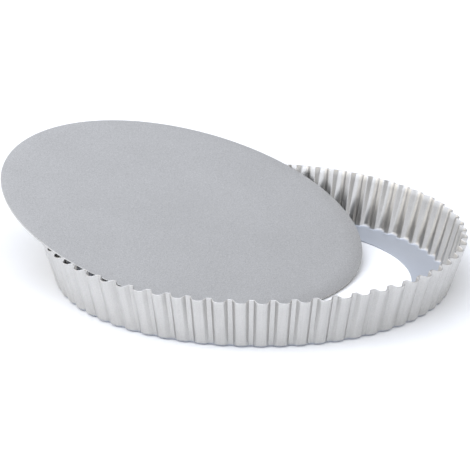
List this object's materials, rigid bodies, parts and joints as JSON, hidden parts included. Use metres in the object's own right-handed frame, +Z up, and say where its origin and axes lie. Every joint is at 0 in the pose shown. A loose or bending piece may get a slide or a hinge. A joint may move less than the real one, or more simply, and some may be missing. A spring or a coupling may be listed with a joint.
{
  "type": "loose-bottomed tart pan",
  "caption": "Round fluted tart ring with a flat inward ledge, and a separate flat round base leaning on its rim, ready to drop in.",
  "frame": {"origin": "middle of the footprint box of the ring and the leaning base, on the surface the ring stands on", "axes": "+Z up, along the ring's own axis; +X along the longest side of the footprint, away from the raised side of the base; +Y to the back, across the footprint"},
  "size_m": [0.3068, 0.2932, 0.0669],
  "materials": {
    "ring_tinplate": "tinned steel sheet, deep-drawn, soft satin shine with faint upright draw lines",
    "base_tinplate": "tinned steel sheet, rolled flat, matt with a fine even grain"
  },
  "bodies": {
    "ring": {"fluted_ring": "ring_tinplate"},
    "base": {"loose_base": "base_tinplate"}
  },
  "joints": [
    {"name": "base_lift", "type": "slide", "parent": "ring", "child": "base", "axis": [0, 0, 1], "range_m": [0, 0.06]}
  ]
}
